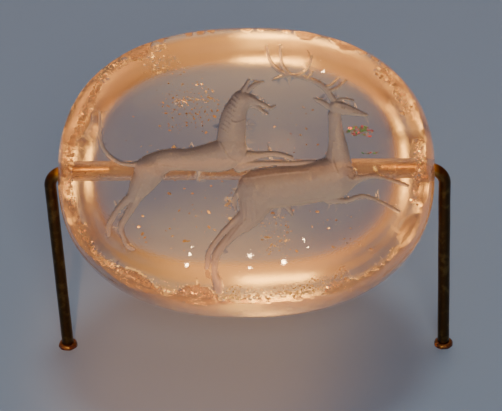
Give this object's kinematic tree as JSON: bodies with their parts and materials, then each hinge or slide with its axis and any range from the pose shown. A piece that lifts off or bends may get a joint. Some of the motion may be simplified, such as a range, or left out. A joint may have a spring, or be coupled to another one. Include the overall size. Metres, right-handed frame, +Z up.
{
  "type": "ancient seal",
  "caption": "Rock-crystal seal with a flat face engraved with a hound springing at a stag and a domed back, hung by its lengthwise bore on bent brass pins.",
  "frame": {"origin": "on the deck that the pins are set in, midway between the two pins, under the middle of the seal's bore", "axes": "+X along the seal's length and bore, +Z up, and the engraved face looks towards -Y and up"},
  "size_m": [0.0342, 0.022, 0.0285],
  "materials": {
    "rock_crystal": "polished, with ground engraving and chipped edges",
    "pin_brass": "dark, tarnished",
    "amber_resin": "glossy"
  },
  "bodies": {
    "root": {"seal": "rock_crystal", "left_pin": "pin_brass", "right_pin": "pin_brass", "left_foot_bead": "amber_resin", "right_foot_bead": "amber_resin"}
  },
  "joints": []
}
